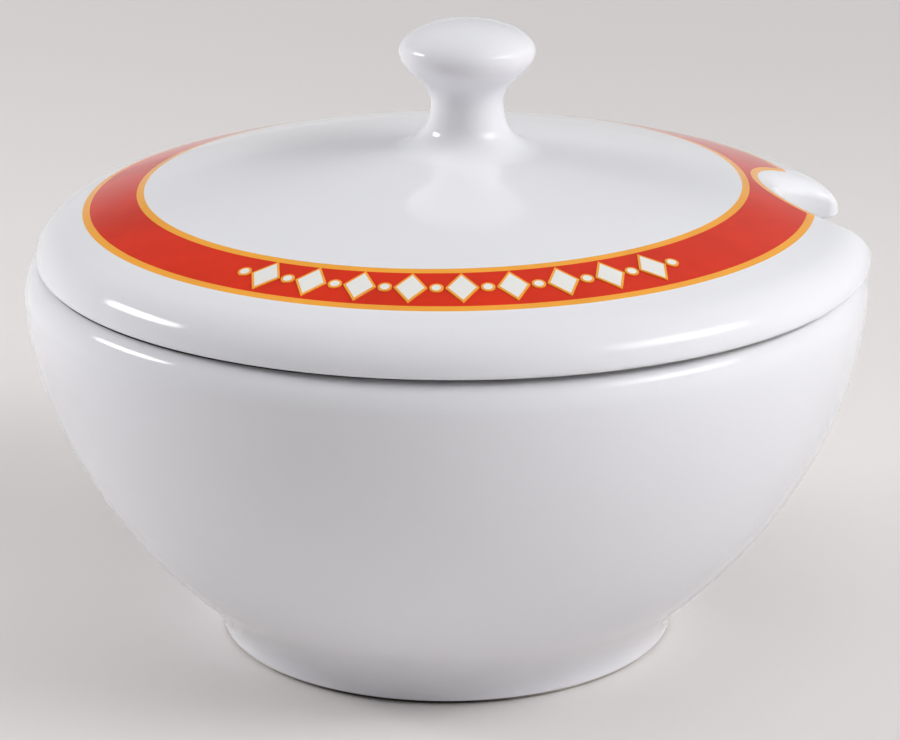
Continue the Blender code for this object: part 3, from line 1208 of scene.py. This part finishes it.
@dataclass(frozen=True)
class View:
    """The photograph's camera. Its place is counted with the photograph's right as x."""

    distance: float = 0.480
    height: float = 0.20377
    pitch: float = math.radians(18.647)
    pan: float = math.radians(0.0655)
    roll: float = math.radians(0.0996)
    focal_px: float = 3175.9
    width_px: float = 900.0
    sensor: float = 36.0
    nearest: float = 0.01

    def place(self) -> None:
        """Adds the camera and makes it the scene's."""
        data = bpy.data.cameras.new("photo_camera")
        data.sensor_width = self.sensor
        data.sensor_fit = "HORIZONTAL"
        data.lens = self.focal_px / self.width_px * self.sensor
        data.clip_start = self.nearest
        level, across = math.cos(self.pan), math.sin(self.pan)
        ahead = Vector((across * math.cos(self.pitch), level * math.cos(self.pitch), -math.sin(self.pitch)))
        right = Vector((level, -across, 0.0))
        down = ahead.cross(right)
        side = math.cos(self.roll) * right + math.sin(self.roll) * down
        fall = -math.sin(self.roll) * right + math.cos(self.roll) * down
        turned = Matrix((side, -fall, -ahead)).transposed().to_4x4()
        turned.translation = Vector((0.0, -self.distance, self.height))
        camera = bpy.data.objects.new("photo_camera", data)
        camera.matrix_world = Matrix.Rotation(-NOTCH_TURN, 4, "Z") @ turned
        bpy.context.scene.collection.objects.link(camera)
        bpy.context.scene.camera = camera


@dataclass
class Studio:
    """The card that the pot stands on, the lamps and the room's own light."""

    half_width: float = 3.0
    horizon: Colour = (0.63, 0.61, 0.605)
    ceiling: float = 0.342
    low_sheen: float = 0.516
    high_sheen: float = 0.162
    right_sheen: float = 0.355
    sheen_edge: tuple[float, float] = (0.05, 0.40)
    aim: Vector = field(default_factory=lambda: Vector((0.0, 0.0, 0.05)))
    lamps: tuple[Lamp, ...] = (
        Lamp("right_softbox", -21.0, 36.0, 0.95, (0.72, 0.28), 1.9, tilt=-22.0),
        Lamp("right_fill", -14.0, 36.0, 0.95, (1.10, 0.28), 5.3, mirrored=False),
        Lamp("left_softbox", 172.5, 29.0, 0.85, (0.42, 0.15), 1.75, tilt=22.0),
        Lamp("left_card", 155.0, 12.0, 1.0, (1.40, 0.70), 7.4, mirrored=False),
        Lamp("front_card", -55.0, 5.0, 1.0, (0.80, 0.24), 0.80, mirrored=False),
        Lamp("top_fill", -90.0, 78.0, 1.1, (0.90, 0.90), 1.65, mirrored=False),
    )

    def room(self) -> bpy.types.World:
        """The room: light from the ceiling, and reflections that are pale low down and on the right.

        Returns:
            The world.
        """
        world = bpy.data.worlds.new("room")
        world.use_nodes = True
        tree = world.node_tree
        way = tree.nodes.new("ShaderNodeSeparateXYZ")
        tree.links.new(tree.nodes.new("ShaderNodeTexCoord").outputs["Generated"], way.inputs["Vector"])
        right, up = (reckon(tree, "MAXIMUM", way.outputs[axis], 0.0) for axis in "XZ")
        light = reckon(tree, "MULTIPLY", up, self.ceiling)
        low = tree.nodes.new("ShaderNodeMapRange")
        low.interpolation_type = "SMOOTHSTEP"
        tree.links.new(way.outputs["Z"], low.inputs["Value"])
        ends = (*self.sheen_edge, self.low_sheen, self.high_sheen)
        for name, number in zip(("From Min", "From Max", "To Min", "To Max"), ends):
            low.inputs[name].default_value = number
        sheen = reckon(tree, "ADD", low.outputs["Result"], reckon(tree, "MULTIPLY", right, self.right_sheen))
        path = tree.nodes.new("ShaderNodeLightPath").outputs
        seen = reckon(tree, "MAXIMUM", path["Is Camera Ray"], path["Is Transmission Ray"])
        colour = light
        for ray, shown in ((path["Is Glossy Ray"], sheen), (seen, (*self.horizon, 1.0))):
            mix = tree.nodes.new("ShaderNodeMix")
            mix.data_type = "RGBA"
            for socket, given in zip((mix.inputs[0], mix.inputs[6], mix.inputs[7]), (ray, colour, shown)):
                if isinstance(given, bpy.types.NodeSocket):
                    tree.links.new(given, socket)
                else:
                    socket.default_value = given
            colour = mix.outputs[2]
        tree.links.new(colour, tree.nodes["Background"].inputs["Color"])
        return world

    def build(self, card: Tabletop, view: View) -> None:
        """Sets up the studio.

        Args:
            card: the finish under the pot.
            view: the camera.
        """
        shape = bmesh.new()
        bmesh.ops.create_grid(shape, x_segments=8, y_segments=8, size=self.half_width)
        floor = as_object("card_floor", shape, [card.material()])
        scene = bpy.context.scene
        scene.view_settings.view_transform = "Standard"
        scene.world = self.room()
        for lamp in self.lamps:
            lamp.place(self.aim)
        view.place()


def main() -> None:
    """Builds the pot and its studio, in order."""
    logging.basicConfig(level=logging.INFO, format="%(name)s: %(message)s")
    glaze = Glaze("lid_glaze").material()
    red = PrintedColour("band_red", (0.68, 0.028, 0.006)).material()
    orange = PrintedColour("band_orange", (0.91, 0.40, 0.045), spread=0.05).material()
    white = PrintedColour("band_white", (0.82, 0.81, 0.79), spread=0.02).material()

    bowl = Bowl()
    # The seat's dark outer edge is painted seam shade with some soil, darkest at the front.
    seat_shade_and_soil = {"shade_and_soil": (0.055, 0.05, 0.045), "shade_soil_radius": (0.0622, 0.0630), "shade_soil_reach": (0.26, 0.87)}
    seat = Biscuit("bare_seat", **seat_shade_and_soil, shade_soil_bearing=math.radians(-115.0), shade_soil_least=0.2).material()
    # The foot ring's dark outer edge is painted contact shadow with some soil, darkest at the front.
    bowl.build(Glaze("bowl_glaze"), Biscuit("bare_foot_ring"), seat)
    bowl.dress()
    log.info("bowl: %d faces", len(bowl.piece.data.polygons))

    lid = Lid()
    lid.build([glaze, orange, red, seat])
    lid.build_flange(glaze)
    lid.dress()
    log.info("lid: %d faces, flange: %d", len(lid.piece.data.polygons), len(lid.flange.data.polygons))

    ornament = Ornament()
    ornament.build(lid, orange, white)
    ornament.dress()
    for piece in ornament.pieces:
        log.info("%s: %d faces", piece.name, len(piece.data.polygons))

    Studio().build(Tabletop(), View())


if __name__ == "__main__":
    main()
